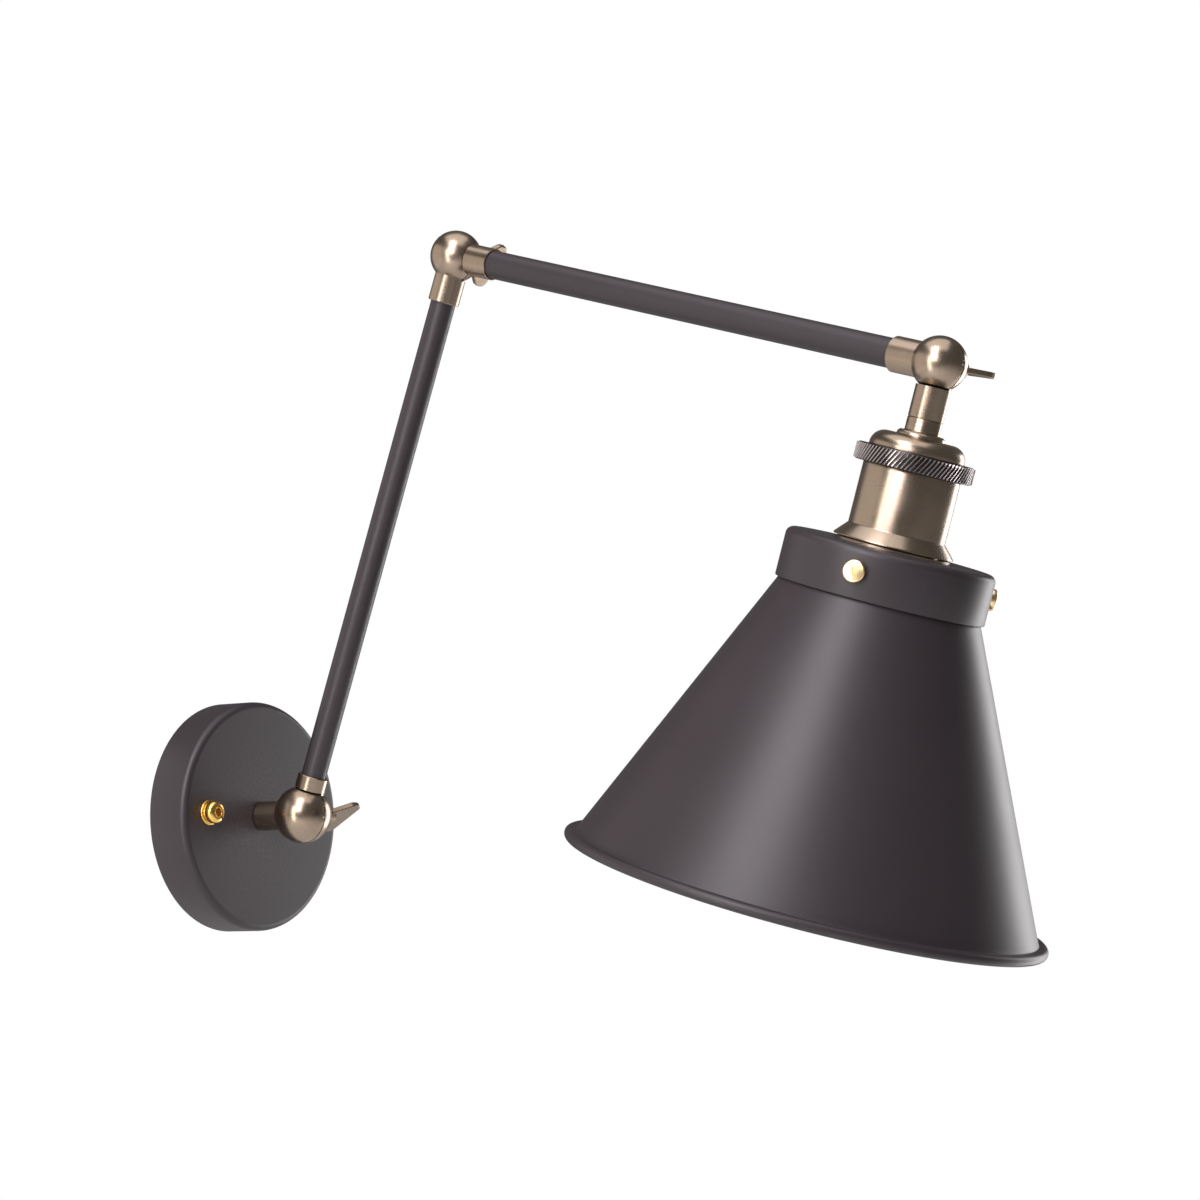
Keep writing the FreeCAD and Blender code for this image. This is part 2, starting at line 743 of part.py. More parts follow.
def loose_parts():
    nodes = {
        "base_wing_nut": on_base(wing_nut(base_ball_radius, base_wing_turn), 0),
        "elbow_wing_nut": on_elbow(wing_nut(arm_ball_radius, elbow_wing_turn), 0),
        "head_wing_nut": on_head(wing_nut(arm_ball_radius, head_wing_turn), 0),
    }
    for number, angle in enumerate(screw_angles(), 1):
        nodes["shade_screw_%d" % number] = on_head(make_shade_screw(angle))
    return nodes


def write_parts():
    os.makedirs("parts", exist_ok=True)
    groups = (wall_parts(), stem_parts(), lower_arm_parts(), upper_arm_parts(), head_parts(), loose_parts())
    for group in groups:
        for node, shape in group.items():
            shape.exportStep("parts/%s.step" % node)
            print("%-26s %d solid(s), %.1f mm3" % (node, len(shape.Solids), shape.Volume))


write_parts()
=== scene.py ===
import bpy
import bmesh
import json
import math
from mathutils import Matrix, Vector


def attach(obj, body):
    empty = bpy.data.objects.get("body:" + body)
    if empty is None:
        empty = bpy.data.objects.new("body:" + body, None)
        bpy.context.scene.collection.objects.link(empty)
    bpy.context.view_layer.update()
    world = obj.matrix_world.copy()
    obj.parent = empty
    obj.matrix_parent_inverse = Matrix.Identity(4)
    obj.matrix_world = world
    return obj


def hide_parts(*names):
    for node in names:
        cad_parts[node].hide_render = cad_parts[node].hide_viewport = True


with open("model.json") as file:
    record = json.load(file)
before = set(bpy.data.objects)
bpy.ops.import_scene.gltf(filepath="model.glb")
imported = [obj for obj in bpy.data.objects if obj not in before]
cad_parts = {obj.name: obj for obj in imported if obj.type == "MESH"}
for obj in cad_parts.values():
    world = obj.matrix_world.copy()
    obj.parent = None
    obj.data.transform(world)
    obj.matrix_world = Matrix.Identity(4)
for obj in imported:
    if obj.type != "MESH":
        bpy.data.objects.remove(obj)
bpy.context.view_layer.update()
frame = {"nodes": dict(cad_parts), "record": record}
record = frame["record"]
print("frame loaded, %d nodes" % len(frame["nodes"]))

mm = 0.001
sharpAngle = math.radians(32)
fullTurn = math.radians(360)
samePoint = 0.00001
jointPlace = {j["name"]: Vector(j["pos_m"]) for j in record["behaviour"]["joints"] if "pos_m" in j}
mountAxis = {m["name"]: Vector(m["axis"]) for m in record["mounts"]}

basePivot = jointPlace["base_hinge"]
elbowPivot = jointPlace["elbow_hinge"]
headPivot = jointPlace["head_hinge"]
wallOut = Vector((0, -1, 0))
lowerAxis = (elbowPivot - basePivot).normalized()
upperAxis = (headPivot - elbowPivot).normalized()
headAxis = mountAxis["lamp_socket"]


def standOn(pivot, axis):  # carries a shape made about Z onto an axis in the plane of the arms
    lean = math.atan2(-axis.y, axis.z)
    return Matrix.Translation(pivot) @ Matrix.Rotation(lean, 4, "X")


def addNode(tree, kind, inputs=None, **settings):
    node = tree.nodes.new(kind)
    for key, value in settings.items():
        setattr(node, key, value)
    for key, value in (inputs or {}).items():
        if isinstance(value, bpy.types.NodeSocket):
            tree.links.new(value, node.inputs[key])
        else:
            node.inputs[key].default_value = value
    return node


def addGroup(name, inSockets, outSockets):
    group = bpy.data.node_groups.new(name, "ShaderNodeTree")
    for label, kind, value in inSockets:
        socket = group.interface.new_socket(label, in_out="INPUT", socket_type=kind)
        if value is not None:
            socket.default_value = value
    for label, kind in outSockets:
        group.interface.new_socket(label, in_out="OUTPUT", socket_type=kind)
    return group, group.nodes.new("NodeGroupInput"), group.nodes.new("NodeGroupOutput")


def useGroup(tree, group, inputs):
    node = tree.nodes.new("ShaderNodeGroup")
    node.node_tree = group
    for key, value in inputs.items():
        if isinstance(value, bpy.types.NodeSocket):
            tree.links.new(value, node.inputs[key])
        else:
            node.inputs[key].default_value = value
    return node


def buildMottle():  # slow cloudy drift between two values, with a finer speckle on top
    group, start, end = addGroup("mottle", [("Vector", "NodeSocketVector", None),
                                            ("Scale", "NodeSocketFloat", 60.0),
                                            ("Low", "NodeSocketFloat", 0.0),
                                            ("High", "NodeSocketFloat", 1.0)],
                                 [("Value", "NodeSocketFloat")])
    cloud = addNode(group, "ShaderNodeTexNoise", {"Vector": start.outputs["Vector"],
                                                  "Scale": start.outputs["Scale"], "Detail": 5.0})
    spread = addNode(group, "ShaderNodeMapRange", {"Value": cloud.outputs["Fac"], "From Min": 0.3,
                                                   "From Max": 0.7, "To Min": start.outputs["Low"],
                                                   "To Max": start.outputs["High"]})
    group.links.new(spread.outputs["Result"], end.inputs["Value"])
    return group


def buildEdgeWear():  # worn corners, broken up by noise
    group, start, end = addGroup("edgeWear", [("Vector", "NodeSocketVector", None),
                                              ("Amount", "NodeSocketFloat", 0.5),
                                              ("Scale", "NodeSocketFloat", 400.0)],
                                 [("Mask", "NodeSocketFloat"), ("Crevice", "NodeSocketFloat")])
    shape = group.nodes.new("ShaderNodeNewGeometry").outputs["Pointiness"]
    corner = addNode(group, "ShaderNodeMapRange", {"Value": shape, "From Min": 0.51, "From Max": 0.6})
    # hollow mask from the pointiness: antique brass lays tarnish in it, the other metals lay painted shade
    # in it
    hollow = addNode(group, "ShaderNodeMapRange", {"Value": shape, "From Min": 0.49, "From Max": 0.42})
    rub = addNode(group, "ShaderNodeTexNoise", {"Vector": start.outputs["Vector"],
                                                "Scale": start.outputs["Scale"], "Detail": 3.0})
    patchy = addNode(group, "ShaderNodeMapRange", {"Value": rub.outputs["Fac"], "From Min": 0.4,
                                                   "From Max": 0.65})
    rubbed = addNode(group, "ShaderNodeMath", {0: corner.outputs["Result"], 1: patchy.outputs["Result"]},
                     operation="MULTIPLY")
    mask = addNode(group, "ShaderNodeMath", {0: rubbed.outputs[0], 1: start.outputs["Amount"]},
                   operation="MULTIPLY")
    group.links.new(mask.outputs[0], end.inputs["Mask"])
    group.links.new(hollow.outputs["Result"], end.inputs["Crevice"])
    return group


def buildTurningLines():  # fine lines left round the axis of a turned or spun piece
    group, start, end = addGroup("turningLines", [("Vector", "NodeSocketVector", None),
                                                  ("Lines", "NodeSocketFloat", 6000.0)],
                                 [("Height", "NodeSocketFloat")])
    across = addNode(group, "ShaderNodeVectorMath", {0: start.outputs["Vector"], 1: (0.01, 0.01, 1.0)},
                     operation="MULTIPLY")
    fine = addNode(group, "ShaderNodeTexNoise", {"Vector": across.outputs["Vector"],
                                                 "Scale": start.outputs["Lines"], "Detail": 4.0,
                                                 "Roughness": 0.65})
    group.links.new(fine.outputs["Fac"], end.inputs["Height"])
    return group


mottle = buildMottle()
edgeWear = buildEdgeWear()
turningLines = buildTurningLines()
print("node groups built")


def newMaterial(name, pivot=None, axis=None):
    mat = bpy.data.materials.new(name)
    mat.use_nodes = True
    tree = mat.node_tree
    bsdf = tree.nodes["Principled BSDF"]
    spot = tree.nodes.new("ShaderNodeTexCoord").outputs["Object"]
    if pivot is not None:  # local Z along the piece's own axis
        lean = math.atan2(-axis.y, axis.z)
        turned = addNode(tree, "ShaderNodeMapping", {"Vector": spot, "Location": pivot,
                                                     "Rotation": (lean, 0, 0)}, vector_type="TEXTURE")
        spot = turned.outputs["Vector"]
    return mat, tree, bsdf, spot


def mixColour(tree, factor, first, second, blend="MIX"):
    mix = addNode(tree, "ShaderNodeMix", data_type="RGBA", blend_type=blend)
    for socket, value in ((mix.inputs[0], factor), (mix.inputs[6], first), (mix.inputs[7], second)):
        if isinstance(value, bpy.types.NodeSocket):
            tree.links.new(value, socket)
        else:
            socket.default_value = value
    return mix.outputs[2]


def mathNode(tree, operation, first, second):
    return addNode(tree, "ShaderNodeMath", {0: first, 1: second}, operation=operation).outputs[0]


def setBump(tree, bsdf, height, strength, distance):
    bump = addNode(tree, "ShaderNodeBump", {"Height": height, "Strength": strength, "Distance": distance})
    tree.links.new(bump.outputs["Normal"], bsdf.inputs["Normal"])


coatLook = {"dark": (0.0235, 0.0180, 0.0215, 1), "light": (0.0275, 0.0210, 0.0250, 1),
            "worn": (0.11, 0.09, 0.085, 1), "roughLow": 0.42, "roughHigh": 0.46,
            "peelScale": 1900.0, "peel": 0.05, "specular": 0.5}


def satinBlack(name, wearAmount=0.0):  # smooth satin coat: faint peel, and rubbed corners where asked
    mat, tree, bsdf, spot = newMaterial(name)
    look = coatLook
    drift = useGroup(tree, mottle, {"Vector": spot, "Scale": 14.0})
    colour = mixColour(tree, drift.outputs["Value"], look["dark"], look["light"])
    if wearAmount:
        wear = useGroup(tree, edgeWear, {"Vector": spot, "Amount": wearAmount, "Scale": 700.0})
        colour = mixColour(tree, wear.outputs["Mask"], colour, look["worn"])
    tree.links.new(colour, bsdf.inputs["Base Color"])
    sheen = useGroup(tree, mottle, {"Vector": spot, "Scale": 22.0, "Low": look["roughLow"],
                                    "High": look["roughHigh"]})
    tree.links.new(sheen.outputs["Value"], bsdf.inputs["Roughness"])
    peel = addNode(tree, "ShaderNodeTexNoise", {"Vector": spot, "Scale": look["peelScale"], "Detail": 2.0})
    setBump(tree, bsdf, peel.outputs["Fac"], look["peel"], 0.0001)
    bsdf.inputs["Specular IOR Level"].default_value = look["specular"]
    return mat


brassLook = {"bright": (0.395, 0.315, 0.240, 1), "dull": (0.335, 0.262, 0.196, 1),
             "tarnish": (0.10, 0.072, 0.05, 1), "rubbed": (0.66, 0.54, 0.40, 1),
             "roughLow": 0.24, "roughHigh": 0.31}


def antiqueBrass(name, pivot, axis, lines=4200.0, wearAmount=0.0):  # browned, turned and lacquered
    mat, tree, bsdf, spot = newMaterial(name, pivot, axis)
    look = brassLook
    turned = useGroup(tree, turningLines, {"Vector": spot, "Lines": lines})
    drift = useGroup(tree, mottle, {"Vector": spot, "Scale": 30.0})
    colour = mixColour(tree, drift.outputs["Value"], look["dull"], look["bright"])
    streak = addNode(tree, "ShaderNodeMapRange", {"Value": turned.outputs["Height"], "From Min": 0.4,
                                                  "From Max": 0.75, "To Min": 0.0, "To Max": 0.16})
    colour = mixColour(tree, streak.outputs["Result"], colour, look["tarnish"])
    if wearAmount:
        wear = useGroup(tree, edgeWear, {"Vector": spot, "Amount": wearAmount, "Scale": 500.0})
        colour = mixColour(tree, wear.outputs["Crevice"], colour, look["tarnish"])
        colour = mixColour(tree, wear.outputs["Mask"], colour, look["rubbed"])
    tree.links.new(colour, bsdf.inputs["Base Color"])
    sheen = useGroup(tree, mottle, {"Vector": spot, "Scale": 60.0, "Low": look["roughLow"],
                                    "High": look["roughHigh"]})
    tree.links.new(sheen.outputs["Value"], bsdf.inputs["Roughness"])
    bsdf.inputs["Metallic"].default_value = 1.0
    bsdf.inputs["Coat Weight"].default_value = 0.1
    bsdf.inputs["Coat Roughness"].default_value = 0.2
    setBump(tree, bsdf, turned.outputs["Height"], 0.025, 0.0001)
    return mat


def metalFinish(name, bright, dull, roughLow, roughHigh, grainScale, bump, wearAmount=0.0):
    mat, tree, bsdf, spot = newMaterial(name)
    drift = useGroup(tree, mottle, {"Vector": spot, "Scale": 90.0})
    colour = mixColour(tree, drift.outputs["Value"], dull, bright)
    if wearAmount:
        wear = useGroup(tree, edgeWear, {"Vector": spot, "Amount": wearAmount, "Scale": 900.0})
        tint = [min(1.0, c * 1.6) for c in bright[:3]] + [1]
        # painted shade: hollows take a quarter of the dull colour
        shade = [c * 0.25 for c in dull[:3]] + [1]
        colour = mixColour(tree, wear.outputs["Crevice"], colour, shade)
        colour = mixColour(tree, wear.outputs["Mask"], colour, tint)
    tree.links.new(colour, bsdf.inputs["Base Color"])
    sheen = useGroup(tree, mottle, {"Vector": spot, "Scale": 200.0, "Low": roughLow, "High": roughHigh})
    tree.links.new(sheen.outputs["Value"], bsdf.inputs["Roughness"])
    bsdf.inputs["Metallic"].default_value = 1.0
    grain = addNode(tree, "ShaderNodeTexNoise", {"Vector": spot, "Scale": grainScale, "Detail": 4.0})
    setBump(tree, bsdf, grain.outputs["Fac"], bump, 0.0001)
    return mat


# the brightest colour here is a painted highlight on the ridge tops, the darkest a painted shade in the
# grooves
steelLook = {"crest": (0.50, 0.46, 0.455, 1), "face": (0.29, 0.26, 0.257, 1),
             "paintedGrooveShade": (0.07, 0.06, 0.058, 1), "valleyRadius": 22.95, "crestRadius": 23.5,
             "roughLow": 0.22, "roughHigh": 0.32}


def ropedSteel(name):  # dark nickel, with painted shade darkening the grooves and a painted highlight brightening the ridges
    mat, tree, bsdf, spot = newMaterial(name, headPivot, headAxis)
    look = steelLook
    flat = addNode(tree, "ShaderNodeVectorMath", {0: spot, 1: (1, 1, 0)}, operation="MULTIPLY")
    radius = addNode(tree, "ShaderNodeVectorMath", {0: flat.outputs["Vector"]}, operation="LENGTH")
    climb = addNode(tree, "ShaderNodeMapRange", {"Value": radius.outputs["Value"],
                                                 "From Min": look["valleyRadius"] * mm,
                                                 "From Max": look["crestRadius"] * mm})
    drift = useGroup(tree, mottle, {"Vector": spot, "Scale": 120.0, "Low": 0.75, "High": 1.0})
    face = mixColour(tree, drift.outputs["Value"], look["paintedGrooveShade"], look["face"])
    # painted shade: the colour darkens down into the grooves
    low = mixColour(tree, climb.outputs["Result"], look["paintedGrooveShade"], face)
    # painted highlight: the ridge tops brighten towards the crest colour
    ridgeHighlightMask = mathNode(tree, "POWER", climb.outputs["Result"], 3.0)
    tree.links.new(mixColour(tree, ridgeHighlightMask, low, look["crest"]), bsdf.inputs["Base Color"])
    sheen = useGroup(tree, mottle, {"Vector": spot, "Scale": 200.0, "Low": look["roughLow"],
                                    "High": look["roughHigh"]})
    tree.links.new(sheen.outputs["Value"], bsdf.inputs["Roughness"])
    bsdf.inputs["Metallic"].default_value = 1.0
    return mat


def mouldedFinish(name, light, dark, roughLow, roughHigh, bump, coat=0.0):
    mat, tree, bsdf, spot = newMaterial(name)
    drift = useGroup(tree, mottle, {"Vector": spot, "Scale": 110.0})
    colour = mixColour(tree, drift.outputs["Value"], dark, light)
    tree.links.new(colour, bsdf.inputs["Base Color"])
    sheen = useGroup(tree, mottle, {"Vector": spot, "Scale": 300.0, "Low": roughLow, "High": roughHigh})
    tree.links.new(sheen.outputs["Value"], bsdf.inputs["Roughness"])
    bsdf.inputs["Coat Weight"].default_value = coat
    grain = addNode(tree, "ShaderNodeTexNoise", {"Vector": spot, "Scale": 2500.0, "Detail": 3.0})
    setBump(tree, bsdf, grain.outputs["Fac"], bump, 0.0001)
    return mat


armBlack = satinBlack("armBlack")
canopyBlack = satinBlack("canopyBlack", 0.25)
shadeBlack = satinBlack("shadeBlack", 0.25)
brassStem = antiqueBrass("brassStem", basePivot, wallOut)
brassLower = antiqueBrass("brassLower", basePivot, lowerAxis)
brassUpper = antiqueBrass("brassUpper", elbowPivot, upperAxis)
brassHead = antiqueBrass("brassHead", headPivot, headAxis)
brassHolder = antiqueBrass("brassHolder", headPivot, headAxis, 5200.0, 0.5)
brassWing = metalFinish("brassWing", (0.32, 0.25, 0.185, 1), (0.25, 0.19, 0.14, 1), 0.25, 0.36, 900.0, 0.06)
gunmetal = ropedSteel("gunmetal")
polishedBrass = metalFinish("polishedBrass", (0.96, 0.76, 0.42, 1), (0.9, 0.69, 0.35, 1), 0.2, 0.28,
                            700.0, 0.03)
nutBrass = metalFinish("nutBrass", (0.93, 0.6, 0.17, 1), (0.85, 0.52, 0.13, 1), 0.2, 0.3, 700.0, 0.03)
plainBrass = metalFinish("plainBrass", (0.86, 0.66, 0.33, 1), (0.72, 0.52, 0.24, 1), 0.22, 0.36, 1000.0,
                         0.06)
zincSteel = metalFinish("zincSteel", (0.66, 0.67, 0.68, 1), (0.5, 0.51, 0.52, 1), 0.25, 0.42, 1100.0, 0.08)
nylonWhite = mouldedFinish("nylonWhite", (0.8, 0.79, 0.75, 1), (0.72, 0.71, 0.66, 1), 0.42, 0.55, 0.08)
nylonBlack = mouldedFinish("nylonBlack", (0.035, 0.033, 0.034, 1), (0.025, 0.023, 0.024, 1), 0.4, 0.5, 0.08)
fibreBlack = mouldedFinish("fibreBlack", (0.05, 0.045, 0.04, 1), (0.025, 0.022, 0.02, 1), 0.7, 0.85, 0.3)
porcelain = mouldedFinish("porcelain", (0.86, 0.84, 0.78, 1), (0.8, 0.77, 0.7, 1), 0.12, 0.2, 0.03, 0.5)
leadJacket = mouldedFinish("leadJacket", (0.04, 0.04, 0.042, 1), (0.025, 0.025, 0.026, 1), 0.4, 0.55, 0.1)
print("materials built")

nodeFinish = {
    "canopy": canopyBlack, "mounting_bracket": zincSteel, "canopy_studs": zincSteel,
    "stud_hex_nuts": zincSteel, "canopy_nuts": polishedBrass, "stem_bushing": nylonBlack,
    "terminal_block": nylonWhite, "terminal_screws": zincSteel, "earth_screw": polishedBrass,
    "supply_lead": leadJacket, "stem_knuckle": brassStem, "stem_nipple": zincSteel,
    "stem_washer": zincSteel, "stem_locknut": zincSteel, "base_clamp_stud": zincSteel,
    "stem_lead": leadJacket, "lower_arm_base_knuckle": brassLower, "base_friction_washer": fibreBlack,
    "lower_arm_tube": armBlack, "lower_arm_elbow_knuckle": brassLower, "elbow_clamp_stud": zincSteel,
    "lower_arm_lead": leadJacket, "upper_arm_elbow_knuckle": brassUpper,
    "elbow_friction_washer": fibreBlack, "upper_arm_tube": armBlack, "upper_arm_head_knuckle": brassUpper,
    "head_clamp_stud": zincSteel, "upper_arm_lead": leadJacket, "head_knuckle": brassHead,
    "head_friction_washer": fibreBlack, "holder_nipple": zincSteel, "holder_locknut": zincSteel,
    "holder_cap": brassHead, "holder_ring": gunmetal, "holder_shell": brassHead,
    "holder_insulator": porcelain, "screw_shell": plainBrass, "centre_contact": plainBrass,
    "contact_screws": plainBrass, "gallery_seat_ring": brassHead, "shade_gallery": shadeBlack,
    "gallery_clamp_ring": plainBrass, "shade": shadeBlack, "head_lead": leadJacket,
    "base_wing_nut": brassWing, "elbow_wing_nut": brassWing, "head_wing_nut": brassWing,
    "shade_screw_1": polishedBrass, "shade_screw_2": polishedBrass, "shade_screw_3": polishedBrass,
}
for nodeName, finish in nodeFinish.items():
    for place in frame["nodes"][nodeName].material_slots:
        place.material = finish
print("finishes put on the frame's nodes")


def newPiece(name, bm, material, body, replaced, place=None):  # places and shades a piece, attaches it to its body and hides the nodes it replaces
    bmesh.ops.remove_doubles(bm, verts=bm.verts, dist=samePoint)
    bmesh.ops.recalc_face_normals(bm, faces=bm.faces)
    if place is not None:
        bmesh.ops.transform(bm, matrix=place, verts=bm.verts)
    for face in bm.faces:
        face.smooth = True
    for edge in bm.edges:
        edge.smooth = len(edge.link_faces) < 2 or edge.calc_face_angle() < sharpAngle
    mesh = bpy.data.meshes.new(name)
    bm.to_mesh(mesh)
    bm.free()
    mesh.materials.append(material)
    piece = bpy.data.objects.new(name, mesh)
    bpy.context.scene.collection.objects.link(piece)
    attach(piece, body)
    for node in replaced:
        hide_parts(node)
    return piece


def addProfile(bm, corners):  # outline of (radius, height, rounding) in mm
    verts = [bm.verts.new((radius * mm, 0, height * mm)) for radius, height, _ in corners]
    closing = [] if corners[0][0] == 0 else verts[:1]
    for first, second in zip(verts, verts[1:] + closing):
        bm.edges.new((first, second))
    for vert, (_, _, rounding) in zip(verts, corners):
        if rounding:
            bmesh.ops.bevel(bm, geom=[vert], offset=rounding * mm, offset_type="OFFSET", affect="VERTICES",
                            segments=2 + int(rounding * 4), profile=0.5, material=-1)


def addSpun(bm, look):  # spins a rounded outline once round Z
    known = set(bm.verts)
    knownEdges = set(bm.edges)
    addProfile(bm, look["corners"])
    verts = [vert for vert in bm.verts if vert not in known]
    edges = [edge for edge in bm.edges if edge not in knownEdges]
    bmesh.ops.spin(bm, geom=verts + edges, axis=(0, 0, 1), cent=(0, 0, 0), angle=fullTurn,
                   steps=look["steps"], use_merge=True)
    return bm


onWall = standOn(Vector((0, 0, 0)), wallOut)
onHead = standOn(headPivot, headAxis)

canopyShape = {"corners": [(6.3, 20.0, 0), (50.0, 20.0, 3.2), (50.0, 0.0, 0.3), (48.8, 0.0, 0.3),
                           (48.8, 18.8, 2.0), (6.3, 18.8, 0)], "steps": 160}
newPiece("canopy_cup", addSpun(bmesh.new(), canopyShape), canopyBlack,
         "wall_mount", ["canopy"], onWall)
print("canopy made")

shadeShape = {"corners": [(40.0, 79.0, 0.2), (40.0, 93.6, 0.6), (91.7, 207.1, 0.5), (92.75, 209.35, 0.3),
                          (93.2, 209.3, 0.3), (97.03, 209.3, 1.9), (97.03, 213.45, 2.0), (92.9, 213.45, 2.0),
                          (92.2, 210.6, 0.3), (39.2, 94.2, 0.5), (39.2, 79.0, 0.2)], "steps": 224}
newPiece("shade_cone", addSpun(bmesh.new(), shadeShape), shadeBlack,
         "head", ["shade"], onHead)

galleryShape = {"corners": [(18.2, 74.4, 0), (41.8, 74.4, 3.0), (41.8, 94.3, 0.4), (40.6, 94.3, 0.3),
                            (40.6, 75.6, 1.6), (18.2, 75.6, 0)], "steps": 160}
newPiece("gallery_cup", addSpun(bmesh.new(), galleryShape), shadeBlack,
         "head", ["shade_gallery"], onHead)
print("shade and gallery made")

capShape = {"corners": [(5.0, 22.3, 0), (7.0, 22.3, 0.25), (7.0, 27.5, 0.3), (8.6, 27.6, 0.3),
                        (9.6, 28.6, 0.5), (9.6, 29.5, 0.15), (19.0, 29.5, 6.0), (19.0, 36.0, 0.2),
                        (17.8, 36.0, 0.2), (17.8, 30.7, 5.0), (5.0, 30.7, 0)], "steps": 128}
newPiece("holder_dome", addSpun(bmesh.new(), capShape), brassHolder,
         "head", ["holder_cap"], onHead)

shellShape = {"corners": [(16.6, 36.5, 0), (17.4, 36.5, 0.2), (17.4, 43.0, 0.1), (19.3, 43.0, 0.3),
                          (19.3, 67.4, 0.25), (23.85, 72.35, 0.2), (23.85, 72.9, 0.15), (18.2, 72.9, 0.1),
                          (18.2, 90.0, 0.3), (16.6, 90.0, 0.3), (16.6, 72.4, 0), (18.2, 66.5, 0),
                          (18.2, 44.1, 0), (16.6, 43.0, 0)], "steps": 144}
newPiece("holder_barrel", addSpun(bmesh.new(), shellShape), brassHolder,
         "head", ["holder_shell"], onHead)

ringShape = {"corners": [(17.4, 36.0, 0), (22.6, 36.0, 0.2), (22.9, 36.4, 0.2), (22.9, 42.6, 0.2),
                         (22.6, 43.0, 0.2), (17.4, 43.0, 0)], "steps": 168, "ridges": 84, "crest": 23.6,
             "root": 22.7, "baseWidth": 1.35, "crestWidth": 0.35, "low": 36.4, "high": 42.6, "twist": 9.0,
             "twistSteps": 6}


def addRidge(bm, look):  # one slanting ridge, swept up and round the ring
    outline = ((look["root"], -look["baseWidth"] / 2), (look["crest"], -look["crestWidth"] / 2),
               (look["crest"], look["crestWidth"] / 2), (look["root"], look["baseWidth"] / 2))
    verts = [bm.verts.new((x * mm, y * mm, look["low"] * mm)) for x, y in outline]
    edges = [bm.edges.new(pair) for pair in zip(verts, verts[1:] + verts[:1])]
    rise = (look["high"] - look["low"]) / look["twistSteps"] * mm
    bmesh.ops.spin(bm, geom=verts + edges, axis=(0, 0, 1), cent=(0, 0, 0), dvec=(0, 0, rise),
                   angle=math.radians(look["twist"]), steps=look["twistSteps"])
    bmesh.ops.holes_fill(bm, edges=bm.edges[:], sides=0)


def ropedRing(look):
    bm = bmesh.new()
    addRidge(bm, look)
    bmesh.ops.spin(bm, geom=bm.verts[:] + bm.edges[:] + bm.faces[:], axis=(0, 0, 1), cent=(0, 0, 0),
                   angle=fullTurn, steps=look["ridges"], use_duplicate=True)
    addSpun(bm, look)
    return bm


newPiece("roped_ring", ropedRing(ringShape), gunmetal, "head", ["holder_ring"], onHead)
print("lampholder made")

threadShape = {"crest": 13.0, "root": 13.6, "pitch": 3.6, "low": 56.6, "turns": 7, "stepsPerTurn": 64,
               "swell": 0.08, "trim": 0.3, "mouth": 84.0}


def rolledThread(look):  # thin brass sleeve whose wall waves in and out along a helix
    bm = bmesh.new()
    swollen = (look["crest"] + look["root"]) / 2 + look["swell"]
    wave = [(look["root"], 0), (swollen, 0.22), (look["crest"], 0.5), (swollen, 0.78),
            (look["root"], 1)]
    start, pitch = look["low"], look["pitch"]
    verts = [bm.verts.new((radius * mm, 0, (start + share * pitch) * mm)) for radius, share in wave]
    for first, second in zip(verts, verts[1:]):
        bm.edges.new((first, second))
    bmesh.ops.spin(bm, geom=bm.verts[:] + bm.edges[:], axis=(0, 0, 1), cent=(0, 0, 0),
                   dvec=(0, 0, pitch / look["stepsPerTurn"] * mm), angle=fullTurn * look["turns"],
                   steps=look["turns"] * look["stepsPerTurn"])
    for level, inner in ((start - look["trim"], True), (look["mouth"], False)):
        bmesh.ops.bisect_plane(bm, geom=bm.verts[:] + bm.edges[:] + bm.faces[:],
                               plane_co=(0, 0, level * mm), plane_no=(0, 0, 1), clear_inner=inner,
                               clear_outer=not inner)
    return bm


threadMesh = rolledThread(threadShape)
newPiece("rolled_thread", threadMesh, plainBrass, "head", ["screw_shell"], onHead)
print("socket made")

nutShape = {"corners": [(2.0, 22.6, 0), (2.0, 20.0, 0), (5.5, 20.0, 0.15), (5.5, 21.4, 0.4),
                        (4.3, 21.6, 0.15), (4.3, 22.2, 0.15), (4.9, 22.5, 0.2), (4.9, 26.2, 2.2),
                        (1.8, 26.2, 0.25), (1.8, 22.6, 0)], "steps": 64, "slotWidth": 1.0,
            "slotDepth": 1.3, "slotTurn": -45, "outer": 5.0, "level": 24.6, "spacing": 70.0}
screwShape = {"corners": [(0, 44.7, 0), (2.6, 44.66, 1.2), (4.4, 44.45, 0.5),
                          (4.4, 42.1, 0.2), (1.5, 42.1, 0.1), (1.5, 40.15, 0.2), (0, 40.15, 0)],
              "steps": 64, "slotWidth": 0.7,
              "slotDepth": 0.25, "slotTurn": 20, "outer": 3.6, "level": 44.4, "count": 3,
              "turn": 43.5, "distance": 84.0}


